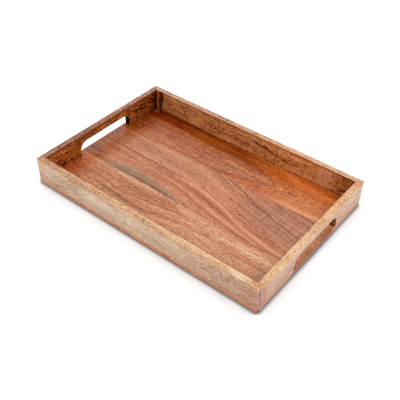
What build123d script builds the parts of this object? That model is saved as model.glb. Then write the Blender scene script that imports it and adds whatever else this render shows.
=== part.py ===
from build123d import *

import os

# A wooden serving tray.  Three edge-glued boards make the base, and four mitred rails stand
# on it, flush with its edges.  Each end rail has a hand slot that is open down to the base.
# Wire nails from below hold the base to the rails, and headless pins hold the mitres.
# +X runs along the tray, +Y from the front rail to the back rail, and +Z up.  The origin is
# the centre of the underside.  Sizes are in millimetres.

# Tray
tray_length = 457.2
tray_width = 304.8
tray_height = 50.8
rail_thickness = 12.0
base_thickness = 10.0
front_joint_y = -50.2  # glue joint between the front and middle boards
back_joint_y = 56.2  # glue joint between the middle and back boards
corner_radius = 3.0  # rounding of the tray's four upright corners
rail_arris = 1.0  # rounding along the top of the rails
base_arris = 1.5  # rounding along the bottom edge of the base
joint_arris = 0.2  # the small chamfers that show where two pieces are glued together

# Hand slots
slot_length = 124.0
slot_height = 25.0
slot_corner_radius = 15.0
slot_edge_radius = 2.0
left_slot_y = 0.0
right_slot_y = 4.5

# Wire nails, driven up through the base into the rails
nail_radius = 0.7
nail_length = 24.0
nail_head_radius = 1.4
nail_head_height = 0.8
nail_head_depth = 0.6  # the heads are sunk this far into the underside
long_rail_nail_pitch = 80.0
long_rail_nail_count = 6
end_rail_nail_offsets = (82.0, 118.0)  # from the tray's centre line

# Headless pins, driven through the front and back rails into the end rails
pin_radius = 0.6
pin_length = 24.0
pin_depth = 0.5  # the pins are sunk this far into the rail's face
lower_pin_z = 18.0
upper_pin_z = 42.0

bore_clearance = 0.02  # radial, around the nails and pins

half_length = tray_length / 2
half_width = tray_width / 2
rail_height = tray_height - base_thickness

# Each rail's plane lies on the base, with its origin at the middle of the foot of the rail's
# outer face, X along the rail and Y into the tray.
front_plane = Plane((0, -half_width, base_thickness), x_dir=(1, 0, 0), z_dir=(0, 0, 1))
right_plane = Plane((half_length, 0, base_thickness), x_dir=(0, 1, 0), z_dir=(0, 0, 1))
back_plane = Plane((0, half_width, base_thickness), x_dir=(-1, 0, 0), z_dir=(0, 0, 1))
left_plane = Plane((-half_length, 0, base_thickness), x_dir=(0, -1, 0), z_dir=(0, 0, 1))


def nail_section(radius, z):
    """A disc for each nail at height z: along the long rails, then along the end rails."""
    with BuildSketch(Plane.XY.offset(z)) as section:
        with GridLocations(long_rail_nail_pitch, tray_width - rail_thickness, long_rail_nail_count, 2):
            Circle(radius)
        for offset in end_rail_nail_offsets:
            with GridLocations(tray_length - rail_thickness, 2 * offset, 2, 2):
                Circle(radius)
    return section.sketch


def pin_section(radius, plane):
    """A disc for each pin that starts from one long face of the tray."""
    with BuildSketch(plane) as section:
        with GridLocations(tray_length - rail_thickness, upper_pin_z - lower_pin_z, 2, 2):
            Circle(radius)
    return section.sketch


def pin_plane(y, inward):
    """A plane on one long face of the tray, midway between the pins' heights."""
    return Plane((0, y, (lower_pin_z + upper_pin_z) / 2), x_dir=(1, 0, 0), z_dir=(0, inward, 0))


def rail_section(plane, run):
    """A rail's plan: mitred ends, with the tray's upright corners rounded."""
    with BuildSketch(plane) as section:
        with BuildLine():
            outer = Line((0, 0), (run / 2 - corner_radius, 0))
            corner = CenterArc((run / 2 - corner_radius, corner_radius), corner_radius, -90, 45)
            mitre = Line(corner @ 1, (run / 2 - rail_thickness, rail_thickness))
            Line(mitre @ 1, (0, rail_thickness))
            mirror(about=Plane.YZ)
        make_face()
    return section.sketch


def slot_section(plane, centre):
    """A hand slot's outline on a rail's outer face, open at the foot of the rail."""
    first, last = centre - slot_length / 2, centre + slot_length / 2
    with BuildSketch(Plane(plane.origin, x_dir=plane.x_dir, z_dir=-plane.y_dir)) as section:
        with BuildLine():
            over = FilletPolyline(
                (first, 0),
                (first, slot_height),
                (last, slot_height),
                (last, 0),
                radius=slot_corner_radius,
            )
            Line(over @ 1, over @ 0)
        make_face()
    return section.sketch


def board_section(front_edge, back_edge):
    """A base board's plan, cut from the tray's outline between two Y positions."""
    with BuildSketch() as section:
        RectangleRounded(tray_length, tray_width, corner_radius)
        with Locations((0, (front_edge + back_edge) / 2)):
            Rectangle(tray_length, back_edge - front_edge, mode=Mode.INTERSECT)
    return section.sketch


def on_outline(edge):
    """Whether an edge of a base board is on the tray's outline, and not in a glue joint."""
    middle = edge @ 0.5
    return half_length - abs(middle.X) < corner_radius or half_width - abs(middle.Y) < corner_radius


def in_joint(edge):
    """Whether an edge of a base board runs along a glue joint between two boards."""
    middle = edge @ 0.5
    return edge.length > tray_length / 2 and half_width - abs(middle.Y) > rail_thickness


def is_mitre(face):
    """Whether a face of a rail is one of its two mitres."""
    normal = face.normal_at()
    return face.geom_type == GeomType.PLANE and abs(abs(normal.X * normal.Y) - 0.5) < 0.001


# Fasteners
with BuildPart() as base_nails:
    extrude(nail_section(nail_head_radius, nail_head_depth), amount=nail_head_height)
    extrude(
        nail_section(nail_radius, nail_head_depth + nail_head_height),
        amount=nail_length - nail_head_height,
    )

with BuildPart() as nail_bores:
    extrude(
        nail_section(nail_head_radius + bore_clearance, 0),
        amount=nail_head_depth + nail_head_height + bore_clearance,
    )
    extrude(
        nail_section(nail_radius + bore_clearance, 0),
        amount=nail_head_depth + nail_length + bore_clearance,
    )

with BuildPart() as corner_pins:
    for y, inward in ((-half_width, 1), (half_width, -1)):
        extrude(pin_section(pin_radius, pin_plane(y, inward).offset(pin_depth)), amount=pin_length)

with BuildPart() as pin_bores:
    for y, inward in ((-half_width, 1), (half_width, -1)):
        extrude(
            pin_section(pin_radius + bore_clearance, pin_plane(y, inward)),
            amount=pin_depth + pin_length + bore_clearance,
        )

pieces = {"base_nails": base_nails, "corner_pins": corner_pins}

# Rails
rails = {
    "front_rail": (front_plane, tray_length, None),
    "back_rail": (back_plane, tray_length, None),
    "left_end_rail": (left_plane, tray_width, -left_slot_y),
    "right_end_rail": (right_plane, tray_width, right_slot_y),
}
for name, (plane, run, slot_centre) in rails.items():
    along = Axis((0, 0, 0), plane.x_dir)
    inward = Axis(plane.origin, plane.y_dir)
    with BuildPart() as rail:
        extrude(rail_section(plane, run), amount=rail_height)
        top = rail.edges().group_by(Axis.Z)[-1]
        fillet(top.filter_by(along) + top.filter_by(GeomType.CIRCLE), rail_arris)
        if slot_centre is not None:
            extrude(slot_section(plane, slot_centre), amount=-rail_thickness, mode=Mode.SUBTRACT)
            cut = rail.edges(Select.LAST).filter_by(lambda edge: (edge @ 0.5).Z > base_thickness + 0.1)
            fillet(cut.group_by(inward)[0] + cut.group_by(inward)[-1], slot_edge_radius)
        mitres = rail.faces().filter_by(is_mitre)
        shown = mitres.edges().filter_by(lambda edge: (edge @ 0.5).Z > base_thickness + 0.1)
        chamfer(shown, joint_arris)
        add(nail_bores.part, mode=Mode.SUBTRACT)
        add(pin_bores.part, mode=Mode.SUBTRACT)
    pieces[name] = rail

# Base boards
boards = {
    "front_base_board": (-half_width, front_joint_y),
    "middle_base_board": (front_joint_y, back_joint_y),
    "back_base_board": (back_joint_y, half_width),
}
for name, (front_edge, back_edge) in boards.items():
    with BuildPart() as board:
        extrude(board_section(front_edge, back_edge), amount=base_thickness)
        fillet(board.edges().group_by(Axis.Z)[0].filter_by(on_outline), base_arris)
        chamfer(board.edges().filter_by(in_joint), joint_arris)
        add(nail_bores.part, mode=Mode.SUBTRACT)
    pieces[name] = board

os.makedirs("parts", exist_ok=True)
for name, piece in pieces.items():
    piece.part.label = name
    export_step(piece.part, f"parts/{name}.step")
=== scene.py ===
import math

import bmesh
import bpy
from mathutils import Matrix, Vector, noise


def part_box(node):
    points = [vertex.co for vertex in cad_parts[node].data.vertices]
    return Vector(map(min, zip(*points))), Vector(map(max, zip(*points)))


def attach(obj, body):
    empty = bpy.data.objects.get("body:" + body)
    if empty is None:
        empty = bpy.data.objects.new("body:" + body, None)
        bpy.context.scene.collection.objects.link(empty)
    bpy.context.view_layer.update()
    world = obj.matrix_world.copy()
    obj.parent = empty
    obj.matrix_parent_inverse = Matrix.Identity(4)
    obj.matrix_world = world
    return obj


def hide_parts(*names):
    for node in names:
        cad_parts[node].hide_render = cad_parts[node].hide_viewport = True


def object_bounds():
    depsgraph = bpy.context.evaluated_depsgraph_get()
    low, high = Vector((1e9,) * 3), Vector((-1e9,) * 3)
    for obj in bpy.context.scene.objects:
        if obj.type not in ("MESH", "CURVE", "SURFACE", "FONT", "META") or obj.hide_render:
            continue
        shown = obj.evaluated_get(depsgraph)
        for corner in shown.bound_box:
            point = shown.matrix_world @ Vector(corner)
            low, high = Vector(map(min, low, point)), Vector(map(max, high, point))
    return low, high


# The looks of a lacquered acacia serving tray.  Pieces, camera and floor are in metres in the
# CAD's frame.  The materials work in millimetres of the same frame, and so do the sizes that
# they use, which follow here.

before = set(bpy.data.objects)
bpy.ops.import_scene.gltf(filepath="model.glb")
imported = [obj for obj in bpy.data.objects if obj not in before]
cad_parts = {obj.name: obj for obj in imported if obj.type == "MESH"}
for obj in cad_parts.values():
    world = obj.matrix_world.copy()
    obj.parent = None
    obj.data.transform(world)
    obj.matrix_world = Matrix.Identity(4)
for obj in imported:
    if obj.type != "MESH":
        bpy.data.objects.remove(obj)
cad_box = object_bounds()

MM = 1000.0  # millimetres in a metre
tray_low, tray_high = (Vector(corner) for corner in cad_box)
half_length, half_width, rim_height = tray_high * MM
base_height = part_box("middle_base_board")[1].z * MM
inner_half_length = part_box("right_end_rail")[0].x * MM  # from the centre to an end rail
inner_half_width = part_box("back_rail")[0].y * MM  # from the centre to a long rail
slot_half_length = 62.0  # of the hand slots


# ---------------------------------------------------------------- camera, light and floor

view_azimuth = math.radians(37.32)
view_elevation = math.radians(41.57)
view_roll = math.radians(1.70)
view_target = Vector((0.0146, -0.0123, 0.0))
view_distance = 1.0906
view_lens = 57.9
sensor_width = 36.0
room_brightness = 1.12
floor_half_size = 4.0
floor_covered = 0.0016  # how far the floor reaches in under the tray, whose underside stays open
floor_contact = 0.0075  # how near to the tray the painted contact shadow darkens the floor


def make_camera():
    back = Vector(
        (
            math.sin(view_azimuth) * math.cos(view_elevation),
            -math.cos(view_azimuth) * math.cos(view_elevation),
            math.sin(view_elevation),
        )
    )
    right = Vector((0, 0, 1)).cross(back).normalized()
    up = back.cross(right)
    rolled_right = math.cos(view_roll) * right + math.sin(view_roll) * up
    rolled_up = math.cos(view_roll) * up - math.sin(view_roll) * right
    data = bpy.data.cameras.new("camera")
    data.sensor_width = sensor_width
    data.lens = view_lens
    data.clip_end = 20
    camera = bpy.data.objects.new("camera", data)
    axes = Matrix((rolled_right, rolled_up, back)).transposed().to_4x4()
    camera.matrix_world = Matrix.Translation(view_target + back * view_distance) @ axes
    bpy.context.scene.collection.objects.link(camera)
    bpy.context.scene.camera = camera


def make_softbox(name, azimuth, elevation, distance, size, radiance):
    """A square area light aimed at the tray, from a compass direction about it."""
    azimuth, elevation = math.radians(azimuth), math.radians(elevation)
    towards = Vector(
        (
            math.sin(azimuth) * math.cos(elevation),
            -math.cos(azimuth) * math.cos(elevation),
            math.sin(elevation),
        )
    )
    data = bpy.data.lights.new(name, "AREA")
    data.shape = "SQUARE"
    data.size = size
    data.energy = radiance * math.pi * size * size
    lamp = bpy.data.objects.new(name, data)
    aim = towards.to_track_quat("Z", "Y").to_matrix().to_4x4()
    lamp.matrix_world = Matrix.Translation(towards * distance) @ aim
    bpy.context.scene.collection.objects.link(lamp)


def make_room():
    """White surroundings, with a large soft light above and a little behind the tray."""
    world = bpy.data.worlds.new("white_room")
    world.use_nodes = True
    world.node_tree.nodes["Background"].inputs["Color"].default_value = (1.0, 1.0, 1.0, 1.0)
    world.node_tree.nodes["Background"].inputs["Strength"].default_value = room_brightness
    bpy.context.scene.world = world
    bpy.context.scene.view_settings.view_transform = "Standard"
    make_softbox("top_softbox", azimuth=217, elevation=76, distance=1.6, size=1.3, radiance=1.6)


def floor_paint():
    """Flat white, with a painted contact shadow: darker and cooler within a few millimetres of whatever
    stands on it.
    """
    paint = bpy.data.materials.new("white_floor")
    paint.use_nodes = True
    shader = paint.node_tree.nodes["Principled BSDF"]
    shader.inputs["Roughness"].default_value = 0.9
    shader.inputs["Specular IOR Level"].default_value = 0.2
    shader.inputs["Emission Color"].default_value = (1.0, 1.0, 1.0, 1.0)
    shader.inputs["Emission Strength"].default_value = 0.08
    # Painted contact shadow: ambient occlusion sets a darker, cooler colour near the tray
    contact = paint.node_tree.nodes.new("ShaderNodeAmbientOcclusion")
    contact.samples = 16
    contact.inputs["Distance"].default_value = floor_contact
    tones = paint.node_tree.nodes.new("ShaderNodeValToRGB")
    tones.color_ramp.interpolation = "EASE"
    tones.color_ramp.elements[0].position = 0.45
    tones.color_ramp.elements[0].color = (0.22, 0.25, 0.28, 1.0)
    tones.color_ramp.elements[1].position = 0.97
    tones.color_ramp.elements[1].color = (0.90, 0.925, 0.94, 1.0)
    paint.node_tree.links.new(contact.outputs["AO"], tones.inputs[0])
    paint.node_tree.links.new(tones.outputs[0], shader.inputs["Base Color"])
    return paint


def make_floor():
    """A plain floor in four sides round the tray's foot."""
    hole = (tray_high.x - floor_covered, tray_high.y - floor_covered)
    quarters = ((-1, -1), (1, -1), (1, 1), (-1, 1))
    corners = [(floor_half_size * across, floor_half_size * along, 0) for across, along in quarters]
    corners += [(hole[0] * across, hole[1] * along, 0) for across, along in quarters]
    sides = [(side, (side + 1) % 4, (side + 1) % 4 + 4, side + 4) for side in range(4)]
    floor_mesh = bpy.data.meshes.new("floor")
    floor_mesh.from_pydata(corners, [], sides)
    floor_mesh.materials.append(floor_paint())
    floor = bpy.data.objects.new("floor", floor_mesh)
    bpy.context.scene.collection.objects.link(floor)


# ---------------------------------------------------------------- materials

lacquer_roughness = 0.27  # where the lacquer is sound
lacquer_shine = 0.4  # how strongly it reflects there
board_shift = (1.4, -1.8)  # from where the base boards' marks are given to where they lie


class Field:
    """A number or a colour that varies over a surface.  Arithmetic on it adds nodes to its graph."""

    def __init__(self, graph, socket):
        self.graph = graph
        self.socket = socket

    def __add__(self, other):
        return self.graph.math("ADD", self, other)

    def __sub__(self, other):
        return self.graph.math("SUBTRACT", self, other)

    def __rsub__(self, other):
        return self.graph.math("SUBTRACT", other, self)

    def __mul__(self, other):
        return self.graph.math("MULTIPLY", self, other)

    def __truediv__(self, other):
        return self.graph.math("DIVIDE", self, other)

    def __abs__(self):
        return self.graph.math("ABSOLUTE", self)


def srgb(red, green, blue):
    """A linear colour with alpha, from a screen colour, whose values go from 0 to 255."""

    def linear(value):
        value = value / 255
        return value / 12.92 if value <= 0.04045 else ((value + 0.055) / 1.055) ** 2.4

    return (linear(red), linear(green), linear(blue), 1.0)


class Graph:
    """Builds a material's nodes from short expressions."""

    def __init__(self, name):
        self.material = bpy.data.materials.new(name)
        self.material.use_nodes = True
        self.tree = self.material.node_tree
        self.shader = self.tree.nodes["Principled BSDF"]
        place = self.add("ShaderNodeTexCoord")
        scaled = self.add("ShaderNodeVectorMath", operation="SCALE")
        scaled.inputs["Scale"].default_value = MM
        self.link(place.outputs["Object"], scaled.inputs[0])
        self.x, self.y, self.z = self.split(scaled.outputs[0])
        self.normal = [abs(part) for part in self.split(place.outputs["Normal"])]

    def add(self, kind, **settings):
        node = self.tree.nodes.new(kind)
        for key, value in settings.items():
            setattr(node, key, value)
        return node

    def link(self, source, target):
        self.tree.links.new(source, target)

    def plug(self, target, value):
        if isinstance(value, Field):
            self.link(value.socket, target)
        else:
            target.default_value = value

    def split(self, vector):
        parts = self.add("ShaderNodeSeparateXYZ")
        self.link(vector, parts.inputs[0])
        return [Field(self, output) for output in parts.outputs]

    def math(self, operation, *values):
        node = self.add("ShaderNodeMath", operation=operation)
        for target, value in zip(node.inputs, values):
            self.plug(target, value)
        return Field(self, node.outputs[0])

    def greater(self, a, b):
        return self.math("MAXIMUM", a, b)

    def ramp(self, value, start, end):
        """0 up to start, then smoothly up to 1 at end.  It falls where end is below start."""
        if end < start:
            return 1 - self.ramp(value, end, start)
        node = self.add("ShaderNodeMapRange", interpolation_type="SMOOTHSTEP")
        self.plug(node.inputs["Value"], value)
        node.inputs["From Min"].default_value = start
        node.inputs["From Max"].default_value = end
        return Field(self, node.outputs["Result"])

    def noise(self, point, size, detail=2.0, roughness=0.5):
        """Noise of 0 to 1 at a point of three fields, with cells of three sizes."""
        joined = self.add("ShaderNodeCombineXYZ")
        for target, value in zip(joined.inputs, point):
            self.plug(target, value)
        scaled = self.add("ShaderNodeVectorMath", operation="DIVIDE")
        self.link(joined.outputs[0], scaled.inputs[0])
        scaled.inputs[1].default_value = size
        node = self.add("ShaderNodeTexNoise")
        self.link(scaled.outputs[0], node.inputs["Vector"])
        node.inputs["Scale"].default_value = 1.0
        node.inputs["Detail"].default_value = detail
        node.inputs["Roughness"].default_value = roughness
        return Field(self, node.outputs[0])

    def swing(self, point, size, **settings):
        """Noise about zero, of about -1 to 1."""
        return self.noise(point, size, **settings) * 4 - 2

    def curve(self, x, points):
        """A smooth line through points of (x, value), level beyond its ends."""
        first, last = points[0][0], points[-1][0]
        values = [value for _, value in points]
        low, span = min(values), max(values) - min(values)
        if span == 0:
            return low
        node = self.add("ShaderNodeFloatCurve")
        line = node.mapping.curves[0]
        line.points[0].location = (0.0, (values[0] - low) / span)
        line.points[1].location = (1.0, (values[-1] - low) / span)
        for at, value in points[1:-1]:
            line.points.new((at - first) / (last - first), (value - low) / span)
        for point in line.points:
            point.handle_type = "AUTO_CLAMPED"
        node.mapping.update()
        share = self.math("MULTIPLY_ADD", x, 1 / (last - first), -first / (last - first))
        share.socket.node.use_clamp = True
        self.plug(node.inputs["Value"], share)
        return self.math("MULTIPLY_ADD", Field(self, node.outputs[0]), span, low)

    def streak(self, x, y, points, soft):
        """A mark along points of (x, y, half width), whose edge fades over soft on both sides."""
        centre = self.curve(x, [(at, middle) for at, middle, _ in points])
        width = self.curve(x, [(at, half) for at, _, half in points])
        return self.ramp(abs(y - centre) - width, soft, -soft)

    def mix(self, share, first, second, blend="MIX"):
        """A colour that goes from first to second.  Each is a field or a screen colour."""
        node = self.add("ShaderNodeMix", data_type="RGBA", blend_type=blend)
        self.plug(node.inputs[0], share)
        for target, colour in ((node.inputs[6], first), (node.inputs[7], second)):
            self.plug(target, colour if isinstance(colour, Field) else srgb(*colour))
        return Field(self, node.outputs[2])

    def palette(self, tone, colours):
        """A colour ramp over tone, with its screen colours evenly spaced from 0 to 1."""
        node = self.add("ShaderNodeValToRGB")
        ramp = node.color_ramp
        ramp.elements[0].color = srgb(*colours[0])
        ramp.elements[1].color = srgb(*colours[-1])
        for index, colour in enumerate(colours[1:-1], 1):
            ramp.elements.new(index / (len(colours) - 1)).color = srgb(*colour)
        self.plug(node.inputs[0], tone)
        return Field(self, node.outputs[0])


class Wood(Graph):
    """Acacia: bands and lines that follow the grain, pores, and a satin lacquer over them.
    """

    def __init__(self, name, along, across, depth, seed, shift=(0, 0)):
        super().__init__(name)
        parts = {"x": self.x, "y": self.y, "z": self.z}
        self.along = parts[along] - shift[0]
        self.across = parts[across] - shift[1]
        self.depth = parts[depth]
        self.end_grain = self.normal["xyz".index(along)]
        self.seed = seed
        flat = self.greater(self.greater(self.normal[0], self.normal[1]), self.normal[2])
        self.arris = self.ramp(flat, 0.985, 0.8)

    def drift(self, amount, length, width):
        """Lets the grain wander from side to side, which shifts every later mark too.

        amount is how far, and length and width are the spacing of the bends.
        """
        point = (self.along + self.seed * 37, self.across, self.depth)
        wander = self.swing(point, (length, width, width), detail=1.0)
        ripple = self.swing(point, (length / 5, width / 5, width / 5), detail=1.0)
        self.across = self.across + wander * amount + ripple * (amount * 0.2)

    def grow(self, rings, band, line, length, contrast=1.0, ring=4.0, ring_share=0.1, fibre=0.42):
        """Lays out bands, lines, fibres and specks, which follow rings, and gives their tone.

        band and line are the widths of the bands and the lines, length is the lines' length,
        and ring is the spacing of the growth rings.  The other values are strengths.
        """
        self.rings = rings
        point = (self.along + self.seed * 53, self.rings, self.depth)
        self.bands = self.swing(point, (length * 2.6, band, band), detail=2.0)
        self.lines = self.swing(point, (length, line, line), detail=4.0, roughness=0.6)
        self.fibres = self.swing(point, (6, 1.5, 1.5), detail=2.0, roughness=0.6)
        self.specks = self.swing(point, (2.4, 0.9, 0.9), detail=1.0)
        self.cloud = self.swing(point, (60, 22, 22), detail=2.0)
        self.grit = self.lines * 0.5 + self.fibres * 0.5
        flecks = self.ramp(self.swing(point, (7, 2.4, 2.4), detail=1.0), 0.1, 0.9)
        sway = self.bands * 4.0 + self.lines * 1.2
        growth = self.math("SINE", self.rings * (math.tau / ring) + sway)
        tone = self.bands * 0.24 + self.lines * 0.30 + self.cloud * 0.10
        tone = tone + self.fibres * fibre + self.specks * 0.16
        tone = tone + growth * (self.ramp(self.cloud, -0.9, 0.5) * ring_share)
        return (tone - flecks * 0.20) * contrast + 0.55

    def mark(self, colour, strength, points, soft=1.0, rough=0.0, upright=False):
        """Tints the wood along a streak.  rough breaks the streak up along the fibres.

        The points are (along, across, half width), or (across, along, half width) if upright.
        """
        if upright:
            share = self.streak(self.across, self.along, points, soft)
        else:
            share = self.streak(self.along, self.across, points, soft)
        if rough:
            share = share * self.ramp(self.grit, -rough, rough * 0.4)
        self.tint(share * strength, colour)

    def spot(self, colour, strength, centre, size, soft=0.5):
        """Tints an oval spot."""
        off_along = (self.along - centre[0]) / size[0]
        off_across = (self.across - centre[1]) / size[1]
        off = self.math("SQRT", off_along * off_along + off_across * off_across)
        self.tint(self.ramp(off, 1 + soft, 1 - soft) * strength, colour)

    def tint(self, share, colour):
        """Mixes a colour into the wood's."""
        self.colour = self.mix(share, self.colour, colour)

    def shade(self, share, colour):
        """Darkens the wood by a colour that multiplies it."""
        self.colour = self.mix(share, self.colour, colour, "MULTIPLY")

    def crease_shade_and_dust(self, distance, strength=0.75, reach=2.0):
        """Darkening along an inside corner, by the distance from it: painted shade, with some dark
        lacquer and dust gathered there.
        """
        share = self.ramp(distance + self.fibres * 0.4, reach, 0.2) * strength
        self.shade(share, (112, 66, 44))

    def floor_crease_shade_and_dust(self, depth, strength=0.75, reach=2.0):
        """Painted shade in the crease at the foot of a rail, with some lacquer and dust, by the depth
        behind the rail's inner face.
        """
        behind = self.ramp(depth, 0.1, 0.3)
        self.crease_shade_and_dust(behind * 60 + self.z - base_height, strength, reach)

    def rim_line(self, depth, strength=0.8):
        """The dark line along the rim's inner edge, by the depth behind the rail's inner face."""
        high = self.ramp(self.z + self.fibres * 0.5, rim_height - 2.4, rim_height - 0.8)
        share = self.ramp(depth, 1.7, 0.5) * high
        self.tint(share * strength, (84, 34, 8))

    def rim_top(self):
        """1 on the rim's top, and 0 on the rails' sides."""
        return self.ramp(self.z, rim_height - 1.6, rim_height - 0.6)

    def board_top(self):
        """1 on the upper face of a base board, and 0 on its edges and underside."""
        return self.ramp(self.z, base_height - 1.0, base_height - 0.2)

    def foot_shadow_line(self):
        """Painted contact shadow along the base's bottom edge, higher at its ends, and painted shade
        that dulls the wood under a slot.
        """
        strength = 0.65
        past_end = abs(self.x) - half_length
        outside = self.greater(past_end, abs(self.y) - half_width)
        height = self.z + self.fibres * 0.4 - self.ramp(past_end, -1.6, -1.0) * 1.2
        share = self.ramp(outside, -1.6, -1.0) * self.ramp(height, 3.6, 0.8)
        self.tint(share * strength, (92, 78, 74))
        below = self.ramp(abs(self.y), slot_half_length + 4, slot_half_length - 6)
        self.shade(self.ramp(past_end, -1.2, -0.6) * below * strength, (206, 190, 198))

    def slot_floor_shade(self, top, tone):
        """Redder wood on top of the boards at their right end, seen through the hand slot: painted
        shade from the end rail over it.
        """
        red = self.palette(tone, [(84, 32, 10), (176, 96, 50), (208, 134, 84)])
        self.tint(self.ramp(self.x, 194, 208) * top * 0.5, red)

    def finish(self, shine=lacquer_shine, end_colour=(96, 62, 46), end_share=0.6, foot=False):
        """Adds pores, end grain and worn edges, with uneven gloss and bump, and gives the material.

        end_colour is laid over end grain by end_share, and foot asks for the painted contact shadow
        along the foot.
        """
        point = (self.along + self.seed * 71, self.across, self.depth)
        pores = self.ramp(self.noise(point, (9, 0.6, 0.6), detail=1.0), 0.60, 0.72)
        self.shade(pores * 0.5, (140, 84, 56))
        ends = self.ramp(self.end_grain, 0.35, 0.75) * self.ramp(abs(self.y) - half_width, -4.4, -6.4)
        self.tint(ends * end_share, end_colour)
        if foot:
            self.foot_shadow_line()
        place = (self.x, self.y, self.z)
        outward = self.greater(abs(self.x) - half_length, abs(self.y) - half_width)
        wear = self.arris * self.ramp(self.noise(place, (9, 9, 9)), 0.40, 0.62)
        wear = wear * self.ramp(outward, -6.5, -2.5)
        self.tint(wear * 0.25, (226, 180, 132))
        smear = self.swing(place, (38, 38, 38))
        duller = smear * 0.035 + self.lines * 0.015 + pores * 0.12 + wear * 0.1 + ends * 0.3
        orange_peel = self.swing(place, (24, 24, 24), detail=1.0)
        height = orange_peel * 0.05 - pores * 0.03 + self.lines * 0.01 + self.fibres * 0.01
        bump = self.add("ShaderNodeBump")
        bump.inputs["Strength"].default_value = 0.6
        bump.inputs["Distance"].default_value = 1 / MM
        self.plug(bump.inputs["Height"], height)
        self.link(bump.outputs[0], self.shader.inputs["Normal"])
        self.plug(self.shader.inputs["Base Color"], self.colour)
        self.plug(self.shader.inputs["Roughness"], duller + lacquer_roughness)
        self.shader.inputs["IOR"].default_value = 1.5
        self.plug(self.shader.inputs["Specular IOR Level"], shine - ends * shine)
        return self.material

    def finish_board(self, shine=lacquer_shine):
        """Finishes a base board, whose ends are pale and whose foot gets a painted contact shadow."""
        return self.finish(shine, end_colour=(198, 156, 136), end_share=0.85, foot=True)


def front_rail_wood():
    """Pale sapwood outside, yellower on top and red heartwood inside."""
    wood = Wood("front_rail_lacquered_acacia", "x", "z", "y", seed=1)
    wood.drift(1.6, 60, 30)
    x, z = wood.along, wood.across
    arch = wood.curve(x, [(-228, -10), (-170, -3), (-112, 12), (-60, 2), (60, -2), (228, 3)])
    tone = wood.grow(z - arch, band=12, line=2.4, length=80, contrast=0.85, fibre=0.62)
    wood.colour = wood.palette(tone, [(122, 82, 58), (178, 138, 108), (196, 162, 132), (210, 182, 154)])
    light = wood.ramp(wood.swing((x + 60, z, wood.y), (60, 14, 14), detail=2.0), 0.1, 0.9)
    wood.tint(light * wood.ramp(x, 110, 60) * 0.5, (212, 194, 170))
    wood.spot((226, 207, 182), 0.35, (-88, 34), (38, 9))
    wood.tint(wood.ramp(x + wood.cloud * 6, -192, -222) * 0.45, (186, 134, 94))
    wood.shade(wood.ramp(x + wood.cloud * 6, 194, 216) * 0.6, (232, 216, 200))
    wood.shade(wood.ramp(z + wood.lines * 2, 26, 16) * wood.ramp(x, 90, 50) * 0.8, (240, 238, 236))
    # Two slanting lines near the left end, small knots, and faint lines along the rail
    brown = (126, 84, 58)
    wood.mark(
        brown, 0.85,
        [
            (-166, 20, -0.6), (-158.6, 24, 0.5), (-148.6, 29.5, 0.6), (-133.6, 38.3, 0.6),
            (-118.6, 45.8, -0.3),
        ],
        1.0, 0.9,
    )
    wood.mark(
        brown, 0.45,
        [(-150, 14, -0.6), (-132, 24, 0.6), (-112, 33, 0.5), (-98, 37, -0.5)],
        1.2, 0.8,
    )
    wood.spot((134, 92, 66), 0.5, (132, 29), (5, 2), 0.6)
    wood.spot((126, 78, 54), 0.5, (218, 40), (7, 4), 0.6)
    wood.spot((126, 78, 54), 0.5, (206, 22.5), (6, 2), 0.6)
    wood.mark(brown, 0.35, [(-96, 25, -0.6), (-70, 23, 1.0), (-40, 20, 0.8), (-8, 21, -0.6)], 1.4, 0.7)
    wood.mark(brown, 0.3, [(-62, 15, -0.6), (-20, 13, 0.9), (24, 15, -0.6)], 1.4, 0.7)
    wood.mark(brown, 0.35, [(4, 27, -0.6), (30, 24, 0.9), (64, 19, -0.6)], 1.4, 0.7)
    wood.mark(brown, 0.35, [(70, 32, -0.6), (110, 28, 1.2), (150, 26, 0.8), (200, 30, -0.6)], 2.0, 0.8)
    # Redder wood towards the right end
    rosy = wood.ramp(x + wood.cloud * 30, 90, 220)
    wood.tint(rosy * 0.6, wood.palette(tone, [(98, 56, 42), (166, 112, 86), (196, 147, 119)]))
    # The top: yellow wood, browner at the left, with a painted highlight along a stretch and blotches
    # at the right
    yellow = wood.ramp(wood.z + wood.lines, rim_height - 7.8, rim_height - 2.3)
    wood.tint(yellow * 0.9, wood.palette(tone, [(120, 66, 34), (191, 142, 97), (216, 180, 136)]))
    above = wood.rim_top()
    wood.tint(wood.ramp(x + wood.cloud * 12, -150, -196) * above * 0.6, (150, 92, 62))
    # A painted highlight along part of the top
    glint = wood.ramp(abs(wood.x - 188), 26, 6) * above
    wood.tint(glint * 0.35, (236, 214, 188))
    blotch = wood.ramp(wood.swing((x, wood.y, wood.z), (7, 5, 5)), -0.1, 0.5) * wood.ramp(x, 200, 216)
    wood.tint(blotch * above * 0.7, (160, 84, 46))
    # A painted highlight at the top of the near corner, specks on the top, the heartwood on the inner
    # face, and painted shade in the crease at the rail's foot
    corner_x, corner_y = wood.x - (half_length - 0.6), wood.y + (half_width - 0.9)
    near_corner = wood.ramp(corner_x * corner_x + corner_y * corner_y, 9, 3)
    high = wood.ramp(wood.z, rim_height - 2.2, rim_height - 0.8)
    wood.tint(near_corner * high * 0.7, (240, 230, 222))
    wood.tint(wood.ramp(wood.specks, 0.1, 0.9) * above * 0.3, (160, 106, 66))
    depth = -inner_half_width - wood.y
    heart = wood.ramp(depth - wood.lines * 0.5, 1.0, -0.2)
    wood.tint(heart * 0.8, wood.palette(tone, [(84, 38, 20), (152, 86, 54), (188, 126, 88)]))
    wood.floor_crease_shade_and_dust(depth)
    wood.rim_line(depth)
    return wood.finish()


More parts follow.
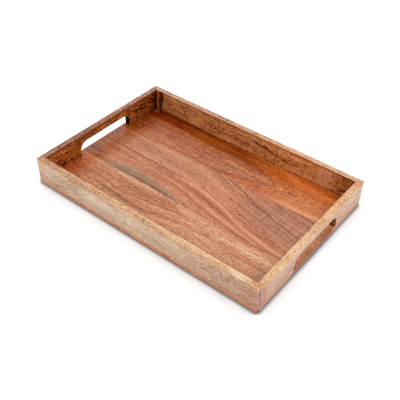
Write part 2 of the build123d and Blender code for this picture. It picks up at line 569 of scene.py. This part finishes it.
def back_rail_wood():
    """Burr figure on the inside: curls, spots and a small closed crack."""
    wood = Wood("back_rail_lacquered_acacia", "x", "z", "y", seed=2)
    wood.drift(1.6, 34, 16)
    x, z = wood.along, wood.across
    tone = wood.grow(z, band=10, line=2.8, length=50)
    rosy = wood.palette(tone, [(98, 56, 38), (154, 104, 80), (180, 136, 112), (200, 160, 136)])
    tan = wood.palette(tone, [(116, 70, 42), (172, 122, 84), (202, 156, 116), (222, 184, 142)])
    wood.colour = wood.mix(wood.ramp(x + wood.cloud * 20, -80, 40), rosy, tan)
    # The burr on the inner face
    depth = wood.y - inner_half_width
    inner = wood.ramp(depth, 1.6, 0.4)
    orange = wood.palette(tone, [(84, 34, 2), (164, 90, 38), (210, 136, 76), (236, 174, 118)])
    wood.tint(inner * 0.95, orange)
    wood.tint(wood.ramp(x, -20, -90) * inner * 0.14, (228, 164, 104))
    dark = (88, 28, 0)
    bent = wood.swing((x, z, wood.y), (26, 20, 20), detail=1.0)
    burr = wood.noise((x + bent * 9, z + bent * 6, wood.y), (15, 8, 8), detail=1.0)
    curls = wood.math("SINE", burr * 60)
    figured = wood.ramp(wood.swing((x + 30, z, wood.y), (50, 30, 30)), -0.6, 0.3)
    figured = figured * wood.ramp(x, 130, 40)
    wood.tint(wood.ramp(curls, 0.0, 0.9) * (inner * figured) * 0.62, dark)
    patches = wood.ramp(wood.swing((x + 90, z, wood.y), (24, 11, 11), detail=1.0), 0.1, 0.9)
    wood.tint(patches * inner * 0.3, (216, 140, 100))
    spots = wood.ramp(wood.swing((x, z, wood.y), (7, 5, 5), detail=1.0), 0.35, 0.8)
    wood.tint(spots * inner * 0.5, dark)
    # Dark lines that cross the grain, and two along it
    for upright in (
        [
            (12, -134, -0.6), (15, -137, 1.2), (26, -143, 1.6), (33, -147, 1.6), (44, -158, 1.2),
            (47, -161, -0.6),
        ],
        [
            (10, -100, -0.5), (13, -99, 0.7), (22, -95, 1.0), (30, -93, 1.0), (36, -99, 0.7),
            (38, -101, -0.5),
        ],
        [(10, -86, -0.5), (12, -85, 0.7), (22, -81, 1.0), (31, -84, 0.7), (33, -85, -0.5)],
        [(13, 55, -0.6), (16, 60, 0.8), (23, 65, 1.0), (28, 66, 1.1), (38, 64, 0.8), (41, 62, -0.6)],
        [(17, 116, -0.6), (19, 117, 0.4), (28, 122, 0.6), (38, 120, 0.4), (40, 119, -0.6)],
    ):
        wood.mark(dark, inner * 0.9, upright, 1.5, 1.6, upright=True)
    for along in (
        [(-70, 24, -1), (-60, 24, 2.4), (-48, 24, 1.6), (-42, 25, -1)],
        [(-200, 14, -0.5), (-186, 20, 1.2), (-170, 24, 0.8), (-158, 26, -0.5)],
    ):
        wood.mark(dark, inner * 0.6, along, 2.0, 0.9)
    # A dark band near the left corner, a ringed knot, six small spots and the closed crack
    band = wood.ramp(abs(x + 205 + wood.cloud * 2) + wood.ramp(z, 24, 10) * 2, 7.5, 3.5) * inner
    wood.tint(band * 0.9, (58, 12, 0))
    knot_x, knot_z = (x + 75.4) / 5.2, (z - 28.3) / 4.6
    knot = wood.math("SQRT", knot_x * knot_x + knot_z * knot_z)
    wood.tint(wood.ramp(knot, 1.0, 0.6) * inner, (206, 118, 56))
    ringed = wood.ramp(abs(knot - 1), 0.42, 0.1) * wood.ramp(wood.grit, -1.4, -0.2)
    wood.tint(ringed * (inner * 0.85), dark)
    for spot in ((-64, 34.5), (-53, 31), (-10, 14.5), (42, 15), (71, 19.5), (120, 15)):
        wood.spot(dark, inner * 0.75, spot, (2.6, 1.7))
    wood.mark(
        (48, 8, 0), inner,
        [(14, 37, -0.8), (20, 36.4, 1.2), (37, 34.5, 1.7), (55, 30.8, 1.3), (63, 29.8, -0.8)],
        1.0,
    )
    # Paler wood, then swirls, towards the right end, and the left corner's dark and orange edges
    pale = wood.ramp(x + wood.cloud * 15, 100, 150) * wood.ramp(x + wood.cloud * 8, 196, 176) * inner
    wood.tint(pale * 0.4, (206, 132, 90))
    wood.tint(wood.ramp(abs(x - 163 + wood.cloud * 5), 18, 8) * inner * 0.35, (226, 164, 124))
    wood.tint(
        wood.ramp(x + wood.cloud * 6, 176, 192) * inner * 0.5,
        wood.palette(tone, [(84, 34, 0), (150, 76, 20), (196, 118, 62)]),
    )
    swirls = wood.swing((x + bent * 5, z, wood.y), (6, 7, 7), detail=2.0)
    swirled = wood.ramp(abs(x - 192), 44, 18) * inner
    wood.tint(wood.ramp(swirls, 0.05, 0.7) * swirled * 0.75, (92, 36, 2))
    wood.tint(wood.ramp(swirls, -0.3, -0.9) * swirled * 0.4, (214, 138, 92))
    wood.tint(wood.ramp(x + wood.cloud * 2, -213, -215) * inner * 0.8, (64, 22, 4))
    wood.tint(wood.ramp(abs(x + 212.4 + wood.lines * 0.5), 2.0, 0.4) * inner * 0.8, (186, 90, 24))
    # Painted shade in the crease at the wall's foot, with some dust and lacquer
    wood.floor_crease_shade_and_dust(depth, strength=0.55, reach=1.4)
    wood.rim_line(depth, wood.ramp(x, 110, 170) * 0.35 + 0.55)
    corner = wood.ramp(x, -194, -200) * inner
    return wood.finish(shine=lacquer_shine - inner * 0.32 - corner * 0.06)


def left_rail_wood():
    """Dark red heartwood with darker streaks inside."""
    wood = Wood("left_rail_lacquered_acacia", "y", "z", "x", seed=3)
    wood.drift(3.0, 60, 20)
    y, z = wood.along, wood.across
    rise = wood.curve(y, [(-152, 6), (-60, 0), (60, 0), (152, 14)])
    tone = wood.grow(z + rise, band=9, line=2.4, length=44, contrast=1.4, fibre=0.62)
    wood.colour = wood.palette(tone, [(60, 24, 10), (126, 68, 42), (174, 109, 75), (200, 140, 104)])
    # A calmer outer face, and an orange inner face with slanting dark streaks
    outer = wood.ramp(wood.x, 1.2 - half_length, 0.4 - half_length)
    calmer = tone * 0.55 + 0.25
    wood.tint(outer * 0.8, wood.palette(calmer, [(104, 56, 34), (160, 104, 74), (192, 138, 104)]))
    depth = -inner_half_length - wood.x
    inner = wood.ramp(depth, 1.2, 0.2)
    orange = wood.palette(tone, [(46, 12, 0), (122, 52, 6), (180, 92, 24), (218, 130, 56)])
    wood.tint(inner * 0.92, orange)
    streak = (40, 10, 0)
    mottle = wood.ramp(wood.swing((y, z, wood.x), (8, 3, 3), detail=2.0), 0.2, 0.9) * inner
    wood.tint(mottle * 0.5, streak)
    # Painted shade, deepening towards the back corner
    wood.shade(wood.ramp(y, 70, 132) * inner * 0.7, (170, 120, 80))
    wood.spot((158, 78, 16), 0.6, (-75, 29), (15, 9))
    wood.mark(
        streak, 1.0,
        [
            (52, 45, -1), (59, 42.6, 1.2), (70, 36.6, 1.6), (85, 31.6, 1.6), (100, 26.6, 1.4),
            (112, 22, -1),
        ],
        1.4, 1.0,
    )
    wood.mark(streak, 0.95, [(74, 46, -1), (90, 40, 1.2), (112, 34, 1.4), (128, 29, -1)], 1.6, 1.0)
    wood.mark(
        streak, 0.7,
        [(-100, 43, -1), (-90, 44.5, 1.0), (-50, 44.5, 1.2), (-36, 43, -1)],
        1.4, 1.0,
    )
    # Deeper painted shade close to the back corner
    wood.shade(wood.ramp(y, 126, 134) * inner * 0.8, (120, 60, 40))
    high = wood.ramp(wood.z + wood.lines, rim_height - 5.8, rim_height - 2.8)
    wood.tint(high * inner * 0.5, (134, 78, 52))
    # Painted shade in the crease at the wall's foot, with some dust and lacquer
    wood.floor_crease_shade_and_dust(depth, strength=0.35, reach=1.2)
    wood.rim_line(depth, 0.5)
    wood.tint(wood.ramp(depth, 4.0, 1.0) * wood.rim_top() * 0.4, (122, 62, 32))
    return wood.finish(shine=lacquer_shine - inner * 0.25, end_colour=(26, 8, 0), end_share=0.95)


def right_rail_wood():
    """Pinkish sapwood outside, yellow on top and red heartwood inside."""
    wood = Wood("right_rail_lacquered_acacia", "y", "z", "x", seed=4)
    wood.drift(2.0, 70, 25)
    y, z = wood.along, wood.across
    tone = wood.grow(z + y * 0.06, band=12, line=2.2, length=80, fibre=0.62)
    wood.colour = wood.palette(tone, [(112, 56, 38), (172, 117, 90), (198, 149, 117), (216, 174, 142)])
    # Yellow wood on top, and red heartwood inside
    yellow = wood.ramp(wood.z + wood.lines, rim_height - 4.3, rim_height - 0.3)
    wood.tint(yellow * 0.8, wood.palette(tone, [(160, 104, 60), (203, 158, 108), (218, 186, 142)]))
    depth = wood.x - inner_half_length
    heart = wood.ramp(depth + wood.lines * 0.5, 0.8, -0.2)
    wood.tint(heart * 0.8, wood.palette(tone, [(78, 34, 16), (140, 76, 44), (174, 108, 70)]))
    # Duller ends, and faint lines in the near half
    wood.shade(wood.ramp(y + wood.cloud * 6, -122, -138) * 0.7, (222, 208, 198))
    wood.shade(wood.ramp(y + wood.cloud * 6, 118, 136) * 0.8, (238, 224, 208))
    brown = (140, 88, 62)
    wood.mark(
        brown, 0.42,
        [(-150, 34, -0.6), (-110, 30, 1.2), (-64, 26, 0.8), (-40, 25, -0.6)],
        1.6, 0.8,
    )
    wood.mark(brown, 0.3, [(-140, 20, -0.6), (-100, 17, 1.2), (-66, 14, -0.6)], 1.6, 0.8)
    # Orange fibres at the near end, and redder wood on top at the far end
    wood.mark((176, 100, 52), 0.5, [(-152, 0, 80), (-140, 0, 60), (-126, 0, -6)], 6.0, 1.2)
    wood.tint(wood.ramp(y + wood.cloud * 10, 96, 140) * wood.rim_top() * 0.5, (176, 112, 80))
    # Painted shade in the crease at the wall's foot, with some dust and lacquer
    wood.floor_crease_shade_and_dust(depth)
    wood.rim_line(depth)
    # The mitre at the near corner shows as a dark line, which leans inwards towards its foot
    lean = (rim_height - 0.8 - wood.z) * 0.16
    gap = wood.ramp(abs(wood.y + (half_width - 1.0) - lean), 1.9, 0.7)
    outer = wood.ramp(wood.x, half_length - 2.1, half_length - 1.1)
    wood.tint(gap * outer * 0.9, (84, 78, 90))
    end_wood = wood.palette(tone, [(36, 14, 4), (80, 42, 14), (140, 88, 40)])
    return wood.finish(end_colour=end_wood, end_share=0.95)


def front_board_wood():
    """Reddish lines that dip under a pale lens and rise to tan wood at the right."""
    wood = Wood("front_board_lacquered_acacia", "x", "y", "z", seed=5, shift=board_shift)
    wood.drift(1.0, 45, 16)
    x, y = wood.along, wood.across
    dip = wood.curve(
        x,
        [(-228, 0), (-150, -3), (-95, -8), (-40, -4), (0, 3), (60, 11), (130, 15), (228, 19)],
    )
    dip = dip + wood.swing((x, y * 0.3, wood.z), (26, 26, 26), detail=0.0) * 0.8
    tone = wood.grow(y - dip, band=15, line=2.4, length=110, ring=5.2, fibre=0.36)
    wood.colour = wood.palette(tone, [(86, 28, 8), (142, 74, 40), (176, 109, 71), (204, 150, 111)])
    tan = wood.palette(tone, [(104, 38, 12), (160, 87, 48), (185, 127, 85), (204, 158, 116)])
    wood.tint(wood.ramp(x + wood.rings * 0.4 + wood.cloud * 20, -60, 30), tan)
    orange = wood.palette(tone, [(116, 44, 16), (170, 92, 52), (190, 116, 74), (206, 142, 98)])
    warm = wood.ramp(wood.bands + wood.lines * 0.4, 0.3, -0.5) * wood.ramp(x, -40, 20)
    wood.tint(warm * 0.6, orange)
    # Light bands and a corner at the right darkened by painted shade, and the pale lens at the left
    light = wood.palette(tone, [(150, 96, 60), (196, 148, 108), (212, 172, 132), (222, 190, 152)])
    wood.mark(
        light, 0.5,
        [(-20, -52, -1), (30, -58, 5), (90, -62, 8), (150, -66, 9), (215, -74, 9)],
        5.0, 1.4,
    )
    wood.mark(light, 0.3, [(40, -84, -1), (90, -88, 4), (150, -92, 5), (210, -98, 3)], 4.0, 1.2)
    # Painted shade in the inside corner at the right
    corner = wood.ramp(x + wood.cloud * 8 - y * 0.6, 215, 280)
    wood.shade(corner * 0.85, (190, 154, 124))
    pale = wood.palette(tone, [(160, 112, 76), (186, 140, 98), (204, 162, 120)])
    wood.mark(
        pale, 0.8,
        [(-168, -50, -2), (-125, -52, 2.8), (-97, -54, 4.0), (-62, -53, 3), (-24, -50, -2)],
        2.6, 1.8,
    )
    # Dark lines that dip under the lens, and a small knot in one of them
    red = (104, 40, 22)
    wood.mark(
        red, 0.8,
        [
            (-150, -56, -1), (-124, -61, 1.4), (-97, -65, 1.8), (-66, -66, 1.8), (-36, -62, 1.2),
            (2, -56, -1),
        ],
        1.8, 0.8,
    )
    wood.mark(
        (84, 30, 18), 0.75,
        [(-170, -93, -1), (-120, -95, 1.2), (-75, -99, 1.6), (-40, -101, 1.2), (-10, -103, -1)],
        1.6, 0.6,
    )
    wood.mark(red, 0.5, [(-214, -80, -1), (-170, -80, 1.0), (-100, -84, 1.2), (-50, -84, -1)], 1.4, 0.6)
    wood.mark(
        red, 0.5,
        [(-220, -108, -1), (-150, -109, 1.6), (-80, -112, 1.2), (-20, -113, -1)],
        1.6, 0.6,
    )
    wood.spot((70, 28, 18), 0.7, (-86, -66.5), (3.2, 2.0))
    # The front edge, and the left end of the top darkened by a painted reflection of the left end rail
    edge = wood.ramp(wood.y, 0.8 - half_width, 0.2 - half_width)
    wood.tint(edge * 0.85, wood.palette(tone, [(140, 78, 44), (192, 124, 82), (208, 150, 108)]))
    wood.tint(edge * wood.ramp(x, 110, 190) * 0.5, (180, 128, 98))
    top = wood.board_top()
    # A painted reflection of the left end rail darkens the left end of the top
    wood.shade(wood.ramp(wood.x, -174, -204) * (1 - edge) * top * 0.75, (250, 186, 85))
    wood.slot_floor_shade(top, tone)
    return wood.finish_board()


def middle_board_wood():
    """Smooth pinkish wood and red bands that slope down, past an olive lens cut by the joint."""
    wood = Wood("middle_board_lacquered_acacia", "x", "y", "z", seed=6, shift=board_shift)
    wood.drift(1.0, 50, 18)
    x, y = wood.along, wood.across
    slide = wood.curve(
        x,
        [(-228, 0), (-100, 0), (-60, 1), (-28, 4), (5, 12), (55, 26), (105, 37), (160, 47), (228, 56)],
    )
    rings = y + slide * (y * 0.0025 + 1.10)
    tone = wood.grow(
        rings, band=10, line=2.8, length=150, contrast=1.2, ring=4.6, ring_share=0.16, fibre=0.34
    )
    wood.colour = wood.palette(tone, [(104, 38, 18), (152, 82, 48), (180, 110, 74), (200, 138, 98)])
    # Smooth wood at the back left, and curly purplish wood at the back right
    smooth = wood.ramp(wood.rings, 10, 16) * wood.ramp(x + wood.cloud * 15, 70, -20)
    wood.tint(smooth * 0.8, wood.palette(tone, [(134, 78, 52), (177, 115, 81), (196, 138, 104)]))
    purple = wood.ramp(wood.rings, 26, 40) * wood.ramp(x + wood.cloud * 12, 56, 128)
    curl = wood.swing((x, y * 0.25, wood.z), (2.6, 8, 8), detail=2.0)
    curly = tone * 0.55 + curl * 0.28 + 0.2
    wood.tint(purple * 0.85, wood.palette(curly, [(100, 48, 28), (157, 96, 68), (186, 130, 98)]))
    # Red and light bands that slope down to the right
    red = (126, 50, 32)
    bright = (216, 148, 108)
    wood.mark(bright, 0.35, [(30, -24, -2), (80, -34, 7), (140, -40, 8), (228, -46, 6)], 4.0)
    wood.shade(wood.ramp(x, -40, -100) * wood.ramp(y, 32, 22) * 0.5, (236, 240, 244))
    wood.mark(
        red, 0.5,
        [
            (-140, -12, -1), (-85, -15, 2.0), (-30, -19, 3.0), (5, -27, 3.2), (60, -38, 2.6),
            (105, -45, 2), (140, -50, -1),
        ],
        2.6, 1.0,
    )
    wood.mark(
        red, 0.4,
        [
            (-60, -6, -1), (-20, -8, 2.0), (38, -17, 2.6), (105, -33, 2.4), (171, -45, 1.8),
            (228, -50, 1),
        ],
        2.6, 1.0,
    )
    wood.mark(
        red, 0.45,
        [(-110, 2, -1), (-40, -1, 1.4), (20, -9, 1.8), (80, -21, 1.6), (150, -35, -1)],
        2.2, 1.0,
    )
    light = (218, 148, 102)
    wood.mark(
        light, 0.7,
        [(-60, 3, -1), (-22, 3, 3.0), (38, -6, 3.6), (105, -26, 3.6), (171, -40, 2.6), (228, -44, 1.6)],
        3.6, 2.4,
    )
    wood.mark(
        light, 0.55,
        [
            (-160, -3, -1), (-95, -7, 1.6), (-40, -11, 1.8), (5, -20, 1.8), (71, -36, 1.6),
            (110, -44, -1),
        ],
        2.2, 1.0,
    )
    # The dark lines: a level one at the left, and those that cross the curly wood
    dark = (70, 28, 16)
    wood.mark(dark, 0.85, [(-228, 8.6, 0.7), (-100, 8.4, 0.9), (-55, 7, 0.5), (-15, 2, -0.9)], 1.0)
    wood.mark(
        dark, 0.85,
        [
            (16, 58, -0.4), (30, 54, 1.3), (62, 45, 1.1), (104, 29, 1.5), (118, 26, 1.8),
            (160, 14, 0.8), (218, 2, 0.8),
        ],
        1.2, 1.6,
    )
    wood.mark(
        dark, 0.85,
        [(160, 60, -1), (180, 57, 0.8), (200, 51, 1.0), (214, 44, 1.4), (228, 36, 1.4)],
        1.2,
    )
    # The olive lens, and an end of another one at the left
    olive = wood.palette(tone, [(66, 50, 36), (118, 96, 72), (152, 126, 98)])
    wood.mark(
        olive, 0.85,
        [
            (-206, -46, -1), (-180, -44, 2.5), (-153, -41, 6), (-119, -37, 10), (-80, -38, 9.5),
            (-43, -42, 6), (-10, -45, 3), (16, -48, -1),
        ],
        5.0, 1.0,
    )
    wood.mark(
        (66, 46, 34), 0.75,
        [(-200, -45, -1), (-160, -46, 0.8), (-96, -44, 1.8), (-50, -44.5, 1.4), (8, -48, -1)],
        1.4, 0.9,
    )
    wood.mark(
        (84, 64, 48), 0.5,
        [(-150, -39, -0.8), (-128, -37, 0.8), (-90, -37.5, 0.8), (-56, -40, -0.8)],
        1.4, 0.7,
    )
    wood.mark(
        (92, 72, 62), 0.75,
        [(-228, -30, 4.5), (-206, -29, 3.5), (-192, -29, 1), (-178, -29, -2)],
        3.0,
    )
    wood.mark(red, 0.6, [(-2, 4, -1), (2, 9, 2.0), (5, 12, 1.6), (9, 17, -1)], 1.6, 1.2)
    wood.mark(dark, 0.6, [(140, -41, -1), (160, -44, 0.8), (200, -47, 1.2), (228, -48, 1.2)], 1.4)
    # Golden wood past the last dark line, under the right end rail
    gold = wood.palette(tone, [(60, 28, 8), (150, 92, 36), (196, 136, 72)])
    past_line = y - wood.curve(x, [(200, 51), (214, 44), (228, 36)])
    wood.tint(wood.ramp(wood.x, 208, 214) * wood.ramp(past_line, 1, 3) * 0.8, gold)
    top = wood.board_top()
    # A painted reflection of the left end rail darkens the left end of the top
    wood.shade(wood.ramp(wood.x, -164, -208) * top * 0.85, (220, 180, 118))
    wood.slot_floor_shade(top, tone)
    return wood.finish_board()


def back_board_wood():
    """Orange heartwood round a pinkish flame, with dark streaks along the back."""
    wood = Wood("back_board_lacquered_acacia", "x", "y", "z", seed=7, shift=board_shift)
    wood.drift(0.9, 40, 14)
    x, y = wood.along, wood.across
    middle = wood.curve(
        x,
        [(-228, 88), (-62, 89), (-12, 91), (28, 92), (58, 93), (100, 91.5), (228, 92)],
    )
    reach = wood.curve(
        x,
        [
            (-228, 29), (-62, 28), (-12, 26), (28, 22), (58, 15.5), (83, 8.8), (103, 1), (160, -6),
            (228, -9),
        ],
    )
    from_middle = y - middle
    outside = wood.math("SQRT", from_middle * from_middle + 9) - reach
    # Inside the flame, whose edge is where outside is 0, the lines run level
    flame = wood.ramp(outside, 0.6, -0.6)
    rings = outside + (y * 0.7 - outside) * flame
    tone = wood.grow(
        rings, band=9, line=2.6, length=140, contrast=1.15, ring=5.0, ring_share=0.12, fibre=0.36
    )
    wood.colour = wood.palette(tone, [(104, 34, 0), (168, 78, 22), (192, 104, 44), (206, 132, 76)])
    pink = wood.palette(tone, [(100, 38, 10), (146, 72, 34), (168, 97, 57), (188, 124, 86)])
    wood.tint(flame * 0.9, pink)
    wood.shade(flame * wood.ramp(y, 98, 110) * 0.8, (232, 215, 180))
    light = wood.ramp(x + wood.cloud * 10, 60, 120) * wood.ramp(outside, -1, 3) * wood.ramp(y, 120, 100)
    wood.tint(
        light * 0.45,
        wood.palette(tone, [(146, 66, 22), (188, 108, 50), (204, 134, 78), (216, 162, 112)]),
    )
    # The dark strip along the back, and a glow to the right of it
    strip = wood.ramp(y + wood.lines * 0.8, 114, 118) * wood.ramp(x + wood.cloud * 12, 70, -10)
    wood.tint(strip * 0.9, wood.palette(tone, [(64, 12, 0), (118, 44, 0), (150, 68, 0), (184, 98, 24)]))
    wood.shade(wood.ramp(x, -100, -160) * strip * 0.8, (203, 134, 0))
    wood.mark(
        (176, 84, 6), 0.45,
        [(-110, 121, -1), (-50, 121, 5), (10, 121, 5), (60, 120, 5), (90, 120, -1)],
        2.5, 1.4,
    )
    glow = wood.ramp(y, 111, 118) * wood.ramp(x, 60, 90)
    wood.tint(glow * 0.7, wood.palette(tone, [(134, 54, 6), (188, 90, 28), (208, 112, 50)]))
    # The flame's outline, and the dark streaks
    dark = (56, 16, 0)
    outline = wood.curve(
        x,
        [(-150, 0.0), (-80, 1.0), (30, 1.0), (60, 0.7), (100, 0.8), (112, 0.3), (180, 0.0)],
    )
    outline = outline * wood.ramp(abs(outside + wood.lines * 0.6), 2.2, 0.4)
    wood.tint(outline * wood.ramp(wood.grit, -1.4, 0.0) * 0.8, (104, 42, 6))
    wood.mark(
        dark, 0.9,
        [
            (-228, 136, 0.8), (-170, 136.5, 1.8), (-120, 136, 1.8), (-40, 134.5, 0.8), (60, 133, 0.3),
            (110, 132, -0.8),
        ],
        1.4, 0.9,
    )
    wood.mark(
        dark, 0.85,
        [(-215, 129, -0.6), (-170, 128.5, 1.4), (-120, 128, 0.8), (-40, 127, -0.6)],
        1.4, 0.9,
    )
    wood.mark(
        dark, 0.7,
        [(-100, 120, -0.6), (-50, 121, 0.8), (0, 122, 0.8), (50, 121, 0.6), (140, 118, -0.6)],
        1.2, 0.9,
    )
    wood.mark(
        dark, 0.8,
        [
            (-90, 112, -0.6), (-50, 113, 1.4), (-10, 113.5, 1.3), (24, 111, 1.1), (52, 106, 0.7),
            (66, 103, -0.6),
        ],
        1.2, 1.3,
    )
    wood.mark(dark, 0.8, [(-58, 73, -0.6), (-44, 75, 1.0), (-22, 77, 0.7), (0, 78, -0.6)], 1.2, 1.1)
    wood.mark(dark, 0.8, [(-26, 83, -0.6), (-6, 85, 1.0), (14, 84.5, 0.8), (28, 84, -0.6)], 1.2, 1.1)
    wood.mark(dark, 0.5, [(-70, 68, -0.6), (-48, 70, 0.8), (-30, 71, 0.6), (-14, 71, -0.6)], 0.9, 0.9)
    wood.mark(dark, 0.6, [(6, 119, -0.6), (24, 119, 1.2), (44, 115, 1.4), (66, 107, -0.6)], 1.4, 0.9)
    # The back edge, painted shade in the crease under the back rail, with some dust and lacquer, and
    # the left end of the top darkened by a painted reflection of the left end rail
    edge = wood.ramp(wood.y, half_width - 0.8, half_width - 0.2)
    wood.tint(edge * 0.85, wood.palette(tone, [(150, 84, 46), (196, 124, 80), (214, 152, 108)]))
    top = wood.board_top()
    wood.crease_shade_and_dust(inner_half_width - wood.y + (1 - top) * 20, strength=0.55, reach=1.6)
    left = wood.ramp(wood.x, -176, -210) * top
    wood.shade(left * 0.85, (215, 170, 0))
    wood.spot((158, 100, 58), 0.5, (-211, 135), (6, 5))
    wood.slot_floor_shade(top, tone)
    return wood.finish_board(shine=lacquer_shine - strip * 0.25 - left * 0.1)


def steel(name, dark, light):
    """Dull drawn wire, with scale left in its drawing lines."""
    graph = Graph(name)
    point = (graph.x, graph.y, graph.z)
    scale = graph.noise(point, (0.5, 0.5, 0.5), detail=3.0)
    graph.plug(graph.shader.inputs["Base Color"], graph.mix(graph.ramp(scale, 0.35, 0.65), dark, light))
    graph.plug(graph.shader.inputs["Roughness"], scale * 0.3 + 0.3)
    graph.shader.inputs["Metallic"].default_value = 1.0
    bump = graph.add("ShaderNodeBump")
    bump.inputs["Strength"].default_value = 0.4
    bump.inputs["Distance"].default_value = 0.05 / MM
    graph.plug(bump.inputs["Height"], scale)
    graph.link(bump.outputs[0], graph.shader.inputs["Normal"])
    return graph.material


# ---------------------------------------------------------------- the wooden pieces

slice_pitch = 0.006  # spacing of the lines that divide each flat face
unevenness = 0.00014  # how far hand sanding leaves a face from flat
swells_per_metre = 9.0  # of the larger swells; smaller ones lie over them
same_point = 1e-6  # vertices nearer than this are one
same_plane = math.radians(0.2)  # faces that meet at less than this are one flat face
sharp_corner = math.radians(50)  # faces that meet at more than this aren't shaded as one


def hand_sanded(point):
    """Where a point of the true shape lies after sanding by hand.  All the pieces share it."""
    at = point * swells_per_metre
    offset = Vector(noise.noise_vector(at)) + 0.5 * Vector(noise.noise_vector(at * 2.3))
    moved = point + offset * unevenness
    return Vector(
        max(tray_low[axis], min(tray_high[axis], moved[axis])) for axis in range(3)
    )


def make_wood_piece(node, material):
    """A finely divided and slightly uneven copy of a CAD node, which it replaces."""
    mesh = bmesh.new()
    mesh.from_mesh(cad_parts[node].data)
    bmesh.ops.remove_doubles(mesh, verts=mesh.verts, dist=same_point)
    bmesh.ops.dissolve_limit(mesh, angle_limit=same_plane, verts=mesh.verts, edges=mesh.edges)
    low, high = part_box(node)
    for axis in range(3):
        count = max(1, round((high[axis] - low[axis]) / slice_pitch))
        direction = Vector(1.0 if axis == other else 0.0 for other in range(3))
        for index in range(1, count):
            place = low + (high - low) * (index / count)
            everything = mesh.verts[:] + mesh.edges[:] + mesh.faces[:]
            bmesh.ops.bisect_plane(mesh, geom=everything, plane_co=place, plane_no=direction)
    for vertex in mesh.verts:
        vertex.co = hand_sanded(vertex.co)
    for face in mesh.faces:
        face.smooth = True
    for edge in mesh.edges:
        edge.smooth = len(edge.link_faces) == 2 and edge.calc_face_angle() < sharp_corner
    data = bpy.data.meshes.new(node + "_finished")
    mesh.to_mesh(data)
    mesh.free()
    data.materials.append(material)
    piece = bpy.data.objects.new(node + "_finished", data)
    bpy.context.scene.collection.objects.link(piece)
    weighted = piece.modifiers.new("flat_faces", "WEIGHTED_NORMAL")
    weighted.keep_sharp = True
    weighted.weight = 80
    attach(piece, "root")
    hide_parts(node)


def make_tray():
    make_wood_piece("front_rail", front_rail_wood())
    make_wood_piece("back_rail", back_rail_wood())
    make_wood_piece("left_end_rail", left_rail_wood())
    make_wood_piece("right_end_rail", right_rail_wood())
    make_wood_piece("front_base_board", front_board_wood())
    make_wood_piece("middle_base_board", middle_board_wood())
    make_wood_piece("back_base_board", back_board_wood())
    for node, material in (
        ("base_nails", steel("nail_wire", (90, 86, 82), (150, 146, 140))),
        ("corner_pins", steel("pin_wire", (52, 46, 42), (96, 88, 80))),
    ):
        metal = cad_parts[node]
        metal.data.materials.clear()
        metal.data.materials.append(material)


make_camera()
make_room()
make_floor()
make_tray()
